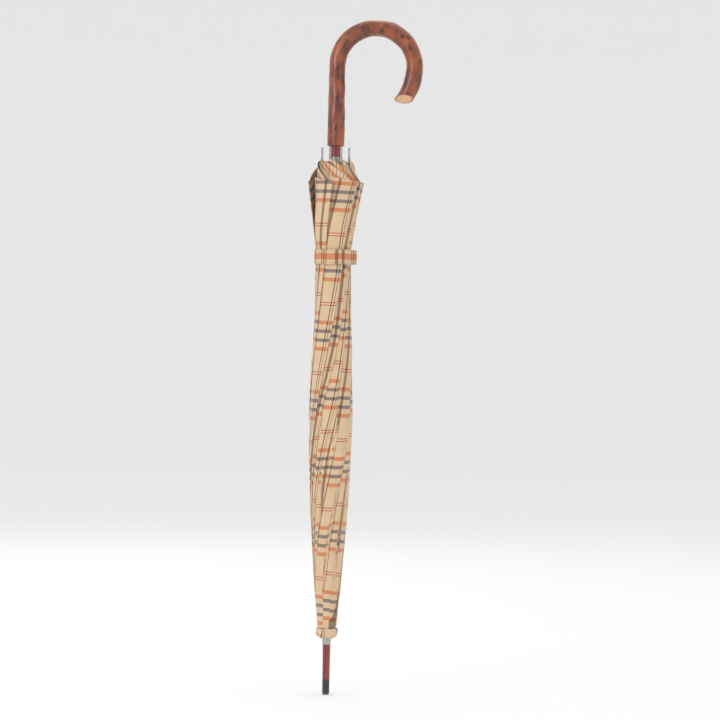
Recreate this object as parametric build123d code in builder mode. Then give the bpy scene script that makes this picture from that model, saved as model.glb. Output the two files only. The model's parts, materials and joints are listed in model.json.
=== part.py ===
"""Stick umbrella, closed, rolled and strapped, standing on its tip with the crook handle up.

A wooden shaft runs from the handle to the tip. Eight steel ribs hinge on a wire in the notch near the tip, and
eight stretchers hinge on the ribs and on a wire in the runner. Rib pivot, stretcher pivot and runner pivot form
an isosceles triangle, so a rib that leans out by an angle turns its stretcher back by twice that angle and the
runner slides along the shaft without turning.

Frame: millimetres, +Z up along the shaft, origin on the shaft's axis at the bottom of the tip cap. The crook
bends towards +X.
"""
import os
from math import cos, radians, sin

from build123d import *

# ---- driving dimensions -------------------------------------------------------------------------------------
TOTAL_HEIGHT = 900.0
RIBS = 8
FIRST_RIB = 22.5             # azimuth of rib 1, degrees from +X
RIB_PITCH = 360.0 / RIBS
RIB_LENGTH = 636.0           # hinge wire to the end of the metal tip
RIB_LEAN = 0.93              # lean of a closed rib from the shaft, degrees
LINK = 288.0                 # hinge to rivet, and rivet to runner wire
HINGE_RADIUS = 9.2           # both hinge wires
NOTCH_Z = 92.0               # height of the notch's hinge wire
NOTCH_LOW_Z = 87.0
NOTCH_SLOT_Z = 90.2          # bottom of the notch's slots
NOTCH_HIGH_Z = 95.5
HANDLE_BASE_Z = 729.5

# wood
WOOD_RADIUS = 11.75          # crook
CROOK_RADIUS = 51.5          # centreline of the bend
CROOK_TAIL_RADIUS = 74.0     # flatter stretch after the bend
CROOK_TAIL_SWEEP = 50.0      # before the end is sawn off aslant
SAW_POINT = (91.0, 0.0, 794.3)
SAW_NORMAL = (-0.137, -0.415, -0.899)
SHAFT_RADIUS = 6.2
SOCKET_DEPTH = 50.0          # shaft inside the handle
STEM_TOP_RADIUS = 5.2        # wood below the notch, tapering to the cap
STEM_LOW_RADIUS = 4.8
COLLAR_SEAT_RADIUS = 5.0
CAP_SEAT_RADIUS = 4.1

# tip cap and collar
CAP_RADIUS = 4.75
CAP_HEIGHT = 20.5
CAP_ROUNDING = 2.5
CAP_FLOOR = 5.0
COLLAR_LOW_Z = 67.0
COLLAR_HIGH_Z = 75.4
COLLAR_RADIUS = 5.7
FLANGE_RADIUS = 8.0
FLANGE_EDGE = 0.7            # thickness at the rim
FLANGE_ROOT = 1.2            # thickness where it leaves the collar
ROSETTE_OUTLINE = [          # height, radius
    (75.6, 8.6), (78.6, 12.6), (82.6, 14.0), (86.8, 12.9),
]

# hinge hardware
WIRE_RADIUS = 0.45
EYE_HOLE = 0.6
EYE_RADIUS = 1.5
BLADE_WIDTH = 1.5            # flattened ends with the eyes
SLOT_WIDTH = 2.0
SLOT_FLOOR = 7.5             # radius of the bottom of a slot
CROWN_RADIUS = 10.9
CROWN_BELOW = 4.4            # runner's crown below its wire
CROWN_ABOVE = 3.6
SLOT_ABOVE = 1.9             # end of the runner's slots above its wire
SLOT_RUNOUT = 2.0            # how far a slot's cutter reaches over the crown's edge
GROOVE_INNER = 8.7
GROOVE_HEIGHT = 1.0

# rib and stretcher sections
RIB_WIDTH = 2.4
RIB_DEPTH = 2.2
STEEL = 0.45                 # sheet of the fluted rib
RIB_BLADE = 10.0             # flat stretch next to the eye
RIB_FLUTE_END = 614.0
SPIGOT_RADIUS = 0.8
SPIGOT_END = 630.0
TIP_START = 616.0
TIP_TUBE = 1.25
TIP_BALL = 1.6
STRETCHER_WIDTH = 3.8
STRETCHER_GAP = 2.8          # inside the stretcher's walls
STRETCHER_WEB = (-2.0, -1.5)
STRETCHER_OPEN_EDGE = 1.2
EAR_LENGTH = 6.0             # stretch next to the rivet that has no web
EAR_RADIUS = 1.9
SHOULDER = (268.0, 276.0)    # closed end of the channel, measured from the rivet
RIVET_RADIUS = 0.7
RIVET_HOLE = 0.8
RIVET_HEAD = (1.2, 0.5)      # radius, thickness
RIVET_HEAD_START = 1.95

# runner
RUNNER_BORE = 6.28
RUNNER_SLEEVE = 7.5
RUNNER_TOP = 47.5            # sleeve end above the hinge wire
WINDOW = (32.0, 44.0)        # latch window above the hinge wire
WINDOW_WIDTH = 3.4

# spring catches, in slots on the +Y side of the shaft
CATCH_WIDTH = 2.4
CATCH_SLOT_WIDTH = 2.8
CATCH_SLOT_FLOOR = 1.5
CATCH_LENGTH = 52.0
CATCH_SHEET = 0.8
CATCH_NOSE_FLAT = 2.5
CATCH_NOSE_LENGTH = 9.0      # steep side to the end of the ramp
CATCH_CLEARANCE = 1.0        # steep side to the edge that it holds
SLOT_END_GAP = 1.5           # slot past the catch's steep side
CATCH_LEAF = (4.5, 5.2)      # radii of the leaf
CATCH_NOSE_RADIUS = 9.0
CATCH_LEG = 2.4              # radius that the anchored leg reaches down to
OPEN_ANGLE = 70.0            # rib from the shaft when open
STOP_PIN = (0.8, 7.4)        # radius, half length
STOP_PIN_GAP = 5.6           # below the runner's wire when open

# canopy and strap
CLOTH = 1.5                  # thickness that stands for the rolled cloth
GORE_GAP = 0.4               # half of the gap between neighbours, degrees
GORE_OUTLINE = [             # height, outer radius
    (104.0, 14.0), (165.0, 18.8), (245.0, 25.0), (340.0, 29.0), (425.0, 28.2), (510.0, 25.6),
    (570.0, 23.5), (594.0, 23.6), (620.0, 27.2), (656.0, 33.2), (681.0, 38.0), (692.0, 29.0), (708.5, 22.6),
]
STRAP_Z = 582.0
STRAP_HEIGHT = 18.0
STRAP_THICKNESS = 1.0
STRAP_TAIL = 17.0
STRAP_SEGMENTS = {           # start azimuth, end azimuth, inner radius; the base is sewn on gore 7
    "strap_base": (-60.0, -23.5, 24.2),
    "strap_side": (-22.5, 93.0, 24.2),
    "strap_back": (94.0, 198.5, 24.7),
    "strap_end": (199.5, 316.0, 25.9),
}
PATCH_START = -58.0          # azimuth, degrees
PATCH_ARC = 12.0
PATCH_THICKNESS = 0.3
PATCH_HEIGHT = 14.0

# ---- derived places -------------------------------------------------------------------------------------------
CROOK_Z = TOTAL_HEIGHT - CROOK_RADIUS - WOOD_RADIUS
RUNNER_Z = NOTCH_Z + 2 * LINK * cos(radians(RIB_LEAN))
OPEN_RUNNER_Z = NOTCH_Z + 2 * LINK * cos(radians(OPEN_ANGLE))
RIVET_X = HINGE_RADIUS + LINK * sin(radians(RIB_LEAN))
RIVET_Z = NOTCH_Z + LINK * cos(radians(RIB_LEAN))

os.makedirs("parts", exist_ok=True)


def save(part, name):
    """Labels a finished piece and writes its STEP file."""
    part.label = name
    export_step(part, f"parts/{name}.step")


def save_ring(part, name):
    """Writes the copies of a piece that stands at azimuth 0, one for each rib."""
    for i in range(RIBS):
        save(part.rotate(Axis.Z, FIRST_RIB + RIB_PITCH * i), f"{name}_{i + 1}")


def link_planes(origin, lean):
    """Planes at a pivot of a link that leans out by lean degrees: one across the link, with X outwards, and one
    in the link's swinging plane, with X along the link and Z along the pivot's axis."""
    along = (sin(radians(lean)), 0, cos(radians(lean)))
    outward = (cos(radians(lean)), 0, -sin(radians(lean)))
    return Plane(origin, x_dir=outward, z_dir=along), Plane(origin, x_dir=along, z_dir=(0, -1, 0))


# ---- handle ---------------------------------------------------------------------------------------------------
SAW_ALIGN = (Align.CENTER, Align.CENTER, Align.MIN)
with BuildPart() as crook_handle:
    with BuildLine(Plane.XZ) as crook_path:
        stem = Line((0, HANDLE_BASE_Z), (0, CROOK_Z))
        bend = CenterArc((CROOK_RADIUS, CROOK_Z), CROOK_RADIUS, 180, -180)
        tail_centre = (2 * CROOK_RADIUS - CROOK_TAIL_RADIUS, CROOK_Z)
        tail = CenterArc(tail_centre, CROOK_TAIL_RADIUS, 0, -CROOK_TAIL_SWEEP)
    with BuildSketch(Plane.XY.offset(HANDLE_BASE_Z)):
        Circle(WOOD_RADIUS)
    sweep(path=crook_path.wires()[0])
    chamfer(crook_handle.edges().filter_by(GeomType.CIRCLE).sort_by(Axis.Z)[0], 1.2)
    with Locations(Plane(SAW_POINT, z_dir=SAW_NORMAL)):
        Box(4 * WOOD_RADIUS, 4 * WOOD_RADIUS, 3 * WOOD_RADIUS, align=SAW_ALIGN, mode=Mode.SUBTRACT)
    sawn_face = crook_handle.faces().filter_by(GeomType.PLANE).sort_by(Axis.X)[-1]
    chamfer(sawn_face.edges(), 1.0)
    with BuildSketch(Plane.XY.offset(HANDLE_BASE_Z)):
        Circle(SHAFT_RADIUS)
    extrude(amount=SOCKET_DEPTH, mode=Mode.SUBTRACT)
save(crook_handle.part, "crook_handle")

# ---- shaft ----------------------------------------------------------------------------------------------------
BOTTOM_CATCH_Z = RUNNER_Z + WINDOW[1] - CATCH_CLEARANCE
TOP_CATCH_Z = OPEN_RUNNER_Z + RUNNER_TOP + CATCH_CLEARANCE
SLOT_LENGTH = CATCH_LENGTH + 2.7 * SLOT_END_GAP
with BuildPart() as shaft:
    with BuildSketch(Plane.XZ):
        with BuildLine():
            Polyline(
                (0, CAP_FLOOR), (CAP_SEAT_RADIUS, CAP_FLOOR), (CAP_SEAT_RADIUS, CAP_HEIGHT),
                (STEM_LOW_RADIUS, CAP_HEIGHT), (STEM_TOP_RADIUS, COLLAR_LOW_Z),
                (COLLAR_SEAT_RADIUS, COLLAR_LOW_Z), (COLLAR_SEAT_RADIUS, COLLAR_HIGH_Z),
                (SHAFT_RADIUS, COLLAR_HIGH_Z), (SHAFT_RADIUS, HANDLE_BASE_Z + SOCKET_DEPTH),
                (0, HANDLE_BASE_Z + SOCKET_DEPTH), close=True,
            )
        make_face()
    revolve(axis=Axis.Z)
    slot_depth = SHAFT_RADIUS - CATCH_SLOT_FLOOR + SLOT_END_GAP
    slot_middle_y = CATCH_SLOT_FLOOR + slot_depth / 2
    bottom_slot_z = BOTTOM_CATCH_Z + SLOT_END_GAP - SLOT_LENGTH / 2
    top_slot_z = TOP_CATCH_Z - SLOT_END_GAP + SLOT_LENGTH / 2
    for slot_z in (bottom_slot_z, top_slot_z):
        with Locations((0, slot_middle_y, slot_z)):
            Box(CATCH_SLOT_WIDTH, slot_depth, SLOT_LENGTH, mode=Mode.SUBTRACT)
    with Locations(Location((0, 0, OPEN_RUNNER_Z - STOP_PIN_GAP), (0, 90, 0))):
        Cylinder(STOP_PIN[0], 4 * SHAFT_RADIUS, mode=Mode.SUBTRACT)
save(shaft.part, "shaft")

with BuildPart() as stop_pin:
    with Locations(Location((0, 0, OPEN_RUNNER_Z - STOP_PIN_GAP), (0, 90, 0))):
        Cylinder(STOP_PIN[0], 2 * STOP_PIN[1])
save(stop_pin.part, "stop_pin")

# ---- tip cap, collar and rosette --------------------------------------------------------------------------------
with BuildPart() as tip_cap:
    Cylinder(CAP_RADIUS, CAP_HEIGHT, align=(Align.CENTER, Align.CENTER, Align.MIN))
    fillet(tip_cap.edges().sort_by(Axis.Z)[0], CAP_ROUNDING)
    with Locations((0, 0, CAP_FLOOR)):
        Cylinder(CAP_SEAT_RADIUS, CAP_HEIGHT, align=(Align.CENTER, Align.CENTER, Align.MIN), mode=Mode.SUBTRACT)
save(tip_cap.part, "tip_cap")

with BuildPart() as collar:
    with BuildSketch(Plane.XZ):
        with BuildLine():
            Polyline(
                (COLLAR_SEAT_RADIUS, COLLAR_LOW_Z), (COLLAR_RADIUS, COLLAR_LOW_Z),
                (COLLAR_RADIUS, COLLAR_HIGH_Z - FLANGE_ROOT), (FLANGE_RADIUS, COLLAR_HIGH_Z - FLANGE_EDGE),
                (FLANGE_RADIUS, COLLAR_HIGH_Z), (COLLAR_SEAT_RADIUS, COLLAR_HIGH_Z), close=True,
            )
        make_face()
    revolve(axis=Axis.Z)
save(collar.part, "tip_collar")

rosette_low_z = ROSETTE_OUTLINE[0][0]
rosette_high_z = ROSETTE_OUTLINE[-1][0]
with BuildPart() as rosette:
    with BuildSketch(Plane.XZ):
        with BuildLine():
            bowl = Spline(*[(r, z) for z, r in ROSETTE_OUTLINE])
            Polyline(bowl @ 1, (SHAFT_RADIUS, rosette_high_z), (SHAFT_RADIUS, rosette_low_z), bowl @ 0)
        make_face()
    revolve(axis=Axis.Z)
save(rosette.part, "rosette")

# ---- notch ------------------------------------------------------------------------------------------------------
with BuildPart() as notch:
    with BuildSketch(Plane.XY.offset(NOTCH_LOW_Z)):
        Circle(CROWN_RADIUS)
        Circle(SHAFT_RADIUS, mode=Mode.SUBTRACT)
    extrude(amount=NOTCH_HIGH_Z - NOTCH_LOW_Z)
    with BuildSketch(Plane.XY.offset(NOTCH_SLOT_Z)):
        with PolarLocations((SLOT_FLOOR + CROWN_RADIUS) / 2, RIBS, start_angle=FIRST_RIB):
            Rectangle(CROWN_RADIUS - SLOT_FLOOR, SLOT_WIDTH)
        with PolarLocations(CROWN_RADIUS, RIBS, start_angle=FIRST_RIB):
            Rectangle(SLOT_RUNOUT, SLOT_WIDTH)
    extrude(amount=NOTCH_HIGH_Z - NOTCH_SLOT_Z, mode=Mode.SUBTRACT)
    with BuildSketch(Plane.XY.offset(NOTCH_Z - GROOVE_HEIGHT / 2)):
        Circle(CROWN_RADIUS + 1)
        Circle(GROOVE_INNER, mode=Mode.SUBTRACT)
    extrude(amount=GROOVE_HEIGHT, mode=Mode.SUBTRACT)
save(notch.part, "notch")

with BuildPart() as notch_wire:
    with Locations((0, 0, NOTCH_Z)):
        Torus(HINGE_RADIUS, WIRE_RADIUS)
save(notch_wire.part, "notch_wire")

# ---- runner -----------------------------------------------------------------------------------------------------
CROWN_LOW_Z = RUNNER_Z - CROWN_BELOW
CROWN_SLOT_Z = RUNNER_Z + SLOT_ABOVE
CROWN_HIGH_Z = RUNNER_Z + CROWN_ABOVE
with BuildPart() as runner:
    with BuildSketch(Plane.XY.offset(CROWN_LOW_Z)):
        Circle(CROWN_RADIUS)
    extrude(amount=CROWN_HIGH_Z - CROWN_LOW_Z)
    with BuildSketch(Plane.XY.offset(CROWN_HIGH_Z)):
        Circle(RUNNER_SLEEVE)
    extrude(amount=RUNNER_TOP - CROWN_ABOVE)
    with BuildSketch(Plane.XY.offset(CROWN_LOW_Z)):
        Circle(RUNNER_BORE)
    extrude(amount=RUNNER_TOP + CROWN_BELOW, mode=Mode.SUBTRACT)
    with BuildSketch(Plane.XY.offset(CROWN_LOW_Z)):
        with PolarLocations((SLOT_FLOOR + CROWN_RADIUS) / 2, RIBS, start_angle=FIRST_RIB):
            Rectangle(CROWN_RADIUS - SLOT_FLOOR, SLOT_WIDTH)
        with PolarLocations(CROWN_RADIUS, RIBS, start_angle=FIRST_RIB):
            Rectangle(SLOT_RUNOUT, SLOT_WIDTH)
    extrude(amount=CROWN_SLOT_Z - CROWN_LOW_Z, mode=Mode.SUBTRACT)
    with BuildSketch(Plane.XY.offset(RUNNER_Z - GROOVE_HEIGHT / 2)):
        Circle(CROWN_RADIUS + 1)
        Circle(GROOVE_INNER, mode=Mode.SUBTRACT)
    extrude(amount=GROOVE_HEIGHT, mode=Mode.SUBTRACT)
    with Locations((0, RUNNER_SLEEVE, RUNNER_Z + sum(WINDOW) / 2)):
        Box(WINDOW_WIDTH, 4, WINDOW[1] - WINDOW[0], mode=Mode.SUBTRACT)
save(runner.part, "runner")

with BuildPart() as runner_wire:
    with Locations((0, 0, RUNNER_Z)):
        Torus(HINGE_RADIUS, WIRE_RADIUS)
save(runner_wire.part, "runner_wire")


# ---- spring catches -----------------------------------------------------------------------------------------------
def catch_outline(steep_z, towards_anchor):
    """Outline of a catch in the YZ plane: a leaf in its slot, anchored by a bent leg, with a ramped nose."""
    low, high = CATCH_LEAF
    end_z = steep_z - towards_anchor * CATCH_SHEET
    anchor_z = end_z + towards_anchor * CATCH_LENGTH
    return [
        (low, end_z), (high, end_z), (high, steep_z), (CATCH_NOSE_RADIUS, steep_z),
        (CATCH_NOSE_RADIUS, steep_z + towards_anchor * CATCH_NOSE_FLAT),
        (high, steep_z + towards_anchor * CATCH_NOSE_LENGTH), (high, anchor_z), (CATCH_LEG, anchor_z),
        (CATCH_LEG, anchor_z - towards_anchor * CATCH_SHEET), (low, anchor_z - towards_anchor * CATCH_SHEET),
    ]


for catch_name, outline in (
    ("bottom_catch", catch_outline(BOTTOM_CATCH_Z, -1)), ("top_catch", catch_outline(TOP_CATCH_Z, 1)),
):
    with BuildPart() as catch:
        with BuildSketch(Plane.YZ):
            with BuildLine():
                Polyline(*outline, close=True)
            make_face()
        extrude(amount=CATCH_WIDTH / 2, both=True)
    save(catch.part, catch_name)

# ---- ribs ---------------------------------------------------------------------------------------------------------
rib_across, rib_side = link_planes((HINGE_RADIUS, 0, NOTCH_Z), RIB_LEAN)
with BuildPart() as rib:
    with BuildSketch(rib_across.offset(RIB_BLADE - 2)):
        Rectangle(RIB_DEPTH, RIB_WIDTH)
    extrude(amount=RIB_FLUTE_END - RIB_BLADE + 2)
    with BuildSketch(rib_across.offset(RIB_BLADE)):
        with Locations((-STEEL, 0)):
            Rectangle(RIB_DEPTH, RIB_WIDTH - 2 * STEEL)
    extrude(amount=RIB_FLUTE_END - RIB_BLADE - 6, mode=Mode.SUBTRACT)
    with BuildSketch(rib_side):
        with Locations((RIB_BLADE / 2, 0)):
            Rectangle(RIB_BLADE, RIB_DEPTH)
        Circle(EYE_RADIUS)
    extrude(amount=BLADE_WIDTH / 2, both=True)
    with BuildSketch(rib_side):
        Circle(EYE_HOLE)
        with Locations((LINK, 0)):
            Circle(RIVET_RADIUS)
    extrude(amount=RIB_WIDTH, both=True, mode=Mode.SUBTRACT)
    with BuildSketch(rib_across.offset(RIB_FLUTE_END)):
        Circle(SPIGOT_RADIUS)
    extrude(amount=SPIGOT_END - RIB_FLUTE_END)
save_ring(rib.part, "rib")

with BuildPart() as rib_tip:
    with BuildSketch(rib_across.offset(TIP_START)):
        Circle(TIP_TUBE)
    extrude(amount=RIB_LENGTH - TIP_BALL - TIP_START)
    with Locations(rib_across.offset(RIB_LENGTH - TIP_BALL)):
        Sphere(TIP_BALL)
    with BuildSketch(rib_across.offset(TIP_START)):
        Circle(SPIGOT_RADIUS)
    extrude(amount=SPIGOT_END - TIP_START, mode=Mode.SUBTRACT)
save_ring(rib_tip.part, "rib_tip")

with BuildPart() as rivet:
    with BuildSketch(rib_side):
        with Locations((LINK, 0)):
            Circle(RIVET_RADIUS)
    extrude(amount=RIVET_HEAD_START, both=True)
    for side in (1, -1):
        with BuildSketch(rib_side.offset(side * RIVET_HEAD_START)):
            with Locations((LINK, 0)):
                Circle(RIVET_HEAD[0])
        extrude(amount=side * RIVET_HEAD[1])
save_ring(rivet.part, "rivet")

# ---- stretchers, drawn from the rivet to the runner's wire ----------------------------------------------------------
stretcher_across, stretcher_side = link_planes((RIVET_X, 0, RIVET_Z), -RIB_LEAN)
web_inner, web_outer = STRETCHER_WEB[1], STRETCHER_WEB[0]
channel_middle = (web_outer + STRETCHER_OPEN_EDGE) / 2
channel_depth = STRETCHER_OPEN_EDGE - web_outer
with BuildPart() as stretcher:
    with BuildSketch(stretcher_across):
        with Locations((channel_middle, 0)):
            Rectangle(channel_depth, STRETCHER_WIDTH)
        with Locations((channel_middle + web_inner - web_outer, 0)):
            Rectangle(channel_depth, STRETCHER_GAP, mode=Mode.SUBTRACT)
    extrude(amount=SHOULDER[1])
    with BuildSketch(stretcher_side):
        Circle(EAR_RADIUS)
    extrude(amount=STRETCHER_WIDTH / 2, both=True)
    with BuildSketch(stretcher_across.offset(-EAR_RADIUS)):
        Rectangle(4 * EAR_RADIUS, STRETCHER_GAP)
    extrude(amount=EAR_RADIUS + EAR_LENGTH, mode=Mode.SUBTRACT)
    with BuildSketch(stretcher_across.offset(SHOULDER[0])):
        with Locations((channel_middle, 0)):
            Rectangle(channel_depth, STRETCHER_WIDTH)
    extrude(amount=SHOULDER[1] - SHOULDER[0])
    with BuildSketch(stretcher_side):
        with Locations(((SHOULDER[1] + LINK) / 2, 0)):
            Rectangle(LINK - SHOULDER[1], RIB_DEPTH)
        with Locations((LINK, 0)):
            Circle(EYE_RADIUS)
    extrude(amount=BLADE_WIDTH / 2, both=True)
    with BuildSketch(stretcher_side):
        Circle(RIVET_HOLE)
        with Locations((LINK, 0)):
            Circle(EYE_HOLE)
    extrude(amount=STRETCHER_WIDTH, both=True, mode=Mode.SUBTRACT)
save_ring(stretcher.part, "stretcher")

# ---- canopy: eight gores, each one sector of the rolled cloth --------------------------------------------------------
with BuildPart() as gore:
    with BuildSketch(Plane.XZ):
        with BuildLine():
            outer = Spline(*[(r, z) for z, r in GORE_OUTLINE])
            inner = Spline(*[(r - CLOTH, z) for z, r in GORE_OUTLINE])
            Line(outer @ 0, inner @ 0)
            Line(outer @ 1, inner @ 1)
        make_face()
    revolve(axis=Axis.Z, revolution_arc=RIB_PITCH - 2 * GORE_GAP)
save_ring(gore.part.rotate(Axis.Z, GORE_GAP), "gore")


# ---- strap ----------------------------------------------------------------------------------------------------------
for strap_name, (start, end, inner_radius) in STRAP_SEGMENTS.items():
    with BuildPart() as strap:
        with BuildSketch(Plane.XY.offset(STRAP_Z - STRAP_HEIGHT / 2)):
            with BuildLine():
                low = CenterArc((0, 0), inner_radius, start, end - start)
                high = CenterArc((0, 0), inner_radius + STRAP_THICKNESS, start, end - start)
                Line(low @ 0, high @ 0)
                Line(low @ 1, high @ 1)
            make_face()
            if strap_name == "strap_end":
                tail_at = (low @ 1 + high @ 1) / 2
                with Locations(Location((tail_at.X, tail_at.Y, 0), (0, 0, end))):
                    Rectangle(STRAP_THICKNESS, STRAP_TAIL, align=(Align.CENTER, Align.MIN))
        extrude(amount=STRAP_HEIGHT)
    save(strap.part, strap_name)

base_outer = STRAP_SEGMENTS["strap_base"][2] + STRAP_THICKNESS
for patch_name, patch_radius in (
    ("strap_loop_patch", base_outer), ("strap_hook_patch", STRAP_SEGMENTS["strap_end"][2] - PATCH_THICKNESS),
):
    with BuildPart() as patch:
        with BuildSketch(Plane.XY.offset(STRAP_Z - PATCH_HEIGHT / 2)):
            with BuildLine():
                low = CenterArc((0, 0), patch_radius, PATCH_START, PATCH_ARC)
                high = CenterArc((0, 0), patch_radius + PATCH_THICKNESS, PATCH_START, PATCH_ARC)
                Line(low @ 0, high @ 0)
                Line(low @ 1, high @ 1)
            make_face()
        extrude(amount=PATCH_HEIGHT)
    save(patch.part, patch_name)
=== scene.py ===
"""Stick umbrella, closed, rolled and strapped. The frame's parts get their finishes. The cloth, the strap, the bent
wooden handle and the rosette are modelled around them."""
import json
import math

import bmesh
import bpy
import numpy as np
from mathutils import Matrix, Vector

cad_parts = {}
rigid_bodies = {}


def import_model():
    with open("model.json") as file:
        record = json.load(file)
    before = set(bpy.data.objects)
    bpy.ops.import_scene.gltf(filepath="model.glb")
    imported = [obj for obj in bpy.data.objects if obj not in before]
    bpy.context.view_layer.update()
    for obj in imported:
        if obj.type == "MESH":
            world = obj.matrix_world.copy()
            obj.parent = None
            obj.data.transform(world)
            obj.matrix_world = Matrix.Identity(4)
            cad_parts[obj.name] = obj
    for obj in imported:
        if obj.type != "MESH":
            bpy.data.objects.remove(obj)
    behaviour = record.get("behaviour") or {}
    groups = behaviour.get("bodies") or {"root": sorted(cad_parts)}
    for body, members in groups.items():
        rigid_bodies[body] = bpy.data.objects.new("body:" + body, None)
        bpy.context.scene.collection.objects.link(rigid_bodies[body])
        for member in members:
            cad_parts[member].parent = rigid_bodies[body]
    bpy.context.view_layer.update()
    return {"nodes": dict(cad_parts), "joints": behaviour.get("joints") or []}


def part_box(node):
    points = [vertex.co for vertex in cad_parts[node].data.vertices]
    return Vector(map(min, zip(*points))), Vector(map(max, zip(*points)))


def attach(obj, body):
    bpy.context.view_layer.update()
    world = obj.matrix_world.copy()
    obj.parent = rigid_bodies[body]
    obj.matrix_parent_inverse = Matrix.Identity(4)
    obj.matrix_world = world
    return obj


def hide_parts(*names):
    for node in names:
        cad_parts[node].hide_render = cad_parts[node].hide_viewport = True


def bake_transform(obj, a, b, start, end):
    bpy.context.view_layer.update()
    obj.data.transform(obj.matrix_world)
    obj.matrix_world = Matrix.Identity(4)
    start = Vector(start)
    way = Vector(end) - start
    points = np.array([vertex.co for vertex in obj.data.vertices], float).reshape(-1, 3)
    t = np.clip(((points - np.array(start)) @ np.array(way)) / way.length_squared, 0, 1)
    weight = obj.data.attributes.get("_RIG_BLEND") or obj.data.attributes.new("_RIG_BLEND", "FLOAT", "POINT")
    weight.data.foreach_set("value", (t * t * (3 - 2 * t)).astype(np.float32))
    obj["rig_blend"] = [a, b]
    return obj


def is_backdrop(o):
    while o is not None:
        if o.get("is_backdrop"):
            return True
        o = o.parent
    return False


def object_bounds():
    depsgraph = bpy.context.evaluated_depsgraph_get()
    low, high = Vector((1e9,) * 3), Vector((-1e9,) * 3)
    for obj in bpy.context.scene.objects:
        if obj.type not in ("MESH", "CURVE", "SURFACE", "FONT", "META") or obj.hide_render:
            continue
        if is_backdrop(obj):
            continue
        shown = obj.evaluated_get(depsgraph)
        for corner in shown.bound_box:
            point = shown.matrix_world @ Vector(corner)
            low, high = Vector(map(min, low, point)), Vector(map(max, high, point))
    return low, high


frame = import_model()
joints = {joint["name"]: joint for joint in frame["joints"]}

# Camera. A long lens at the height of the canopy's middle, rolled a degree so that the umbrella leans as it does
# when it is hung up against a wall.
LENS = 150.0
SENSOR = 36.0
VIEW_MIDDLE = (0.0375, 0.446)        # across and up
VIEW_WIDTH = 0.9585          # what the frame takes in at the shaft, in metres
LEAN = math.radians(1.07)
camera_data = bpy.data.cameras.new("studio_camera")
camera_data.lens = LENS
camera_data.sensor_width = SENSOR
camera_data.clip_end = 50.0
camera = bpy.data.objects.new("studio_camera", camera_data)
bpy.context.collection.objects.link(camera)
camera.location = (VIEW_MIDDLE[0], -VIEW_WIDTH * LENS / SENSOR, VIEW_MIDDLE[1])
level_view = Matrix.Rotation(math.pi / 2, 3, "X")
camera.rotation_euler = (Matrix.Rotation(LEAN, 3, "Y").inverted() @ level_view).to_euler()
bpy.context.scene.camera = camera

# Studio. A wide round floor that curves up into a low wall all round, and four large soft lamps: key from the left,
# fill from the right, one overhead and one behind.
FLOOR_RADIUS = 9.0
WALL_CURVE = 3.0
CURVE_STEPS = 16
LAMP_TARGET = Vector((0, 0, 0.45))
floor_profile = [(0.02, 0.0), (2.0, 0.0), (FLOOR_RADIUS, 0.0)]
for step in range(1, CURVE_STEPS + 1):
    turn = math.pi / 2 * step / CURVE_STEPS
    floor_profile.append((FLOOR_RADIUS + WALL_CURVE * math.sin(turn), WALL_CURVE * (1 - math.cos(turn))))
floor_build = bmesh.new()
last = [floor_build.verts.new((radius, 0, z)) for radius, z in floor_profile]
edges = [floor_build.edges.new(pair) for pair in zip(last, last[1:])]
bmesh.ops.spin(
    floor_build, geom=edges, axis=(0, 0, 1), cent=(0, 0, 0), angle=2 * math.pi, steps=96, use_merge=True
)
middle_ring = [edge for edge in floor_build.edges if edge.is_boundary and edge.verts[0].co.length < 1]
bmesh.ops.contextual_create(floor_build, geom=middle_ring)
bmesh.ops.recalc_face_normals(floor_build, faces=floor_build.faces)
floor_mesh = bpy.data.meshes.new("studio_floor")
floor_build.to_mesh(floor_mesh)
floor_build.free()
floor_mesh.shade_smooth()
studio_floor = bpy.data.objects.new("studio_floor", floor_mesh)
bpy.context.collection.objects.link(studio_floor)
studio_floor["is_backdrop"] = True
floor_paint = bpy.data.materials.new("pale_floor")
floor_paint.use_nodes = True
floor_paint.node_tree.nodes["Principled BSDF"].inputs["Base Color"].default_value = (0.9, 0.9, 0.9, 1.0)
floor_paint.node_tree.nodes["Principled BSDF"].inputs["Roughness"].default_value = 0.9
floor_mesh.materials.append(floor_paint)
for lamp_name, place, size, power in (
    ("key_lamp", (-2.1, -2.5, 1.6), 1.3, 24.0),
    ("fill_lamp", (2.6, -2.0, 0.8), 2.0, 5.0),
    ("top_lamp", (0.3, 0.3, 3.4), 2.4, 12.0),
    ("back_lamp", (-0.8, 2.6, 2.2), 2.0, 12.0),
):
    lamp_data = bpy.data.lights.new(lamp_name, "AREA")
    lamp_data.size = size
    lamp_data.energy = power
    lamp = bpy.data.objects.new(lamp_name, lamp_data)
    bpy.context.collection.objects.link(lamp)
    lamp.location = place
    lamp.rotation_euler = (LAMP_TARGET - Vector(place)).to_track_quat("-Z", "Y").to_euler()
world = bpy.data.worlds.new("studio_air")
world.use_nodes = True
world.node_tree.nodes["Background"].inputs["Color"].default_value = (1.0, 1.0, 1.0, 1.0)
world.node_tree.nodes["Background"].inputs["Strength"].default_value = 0.9
bpy.context.scene.world = world
bpy.context.scene.view_settings.view_transform = "Standard"


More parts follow.
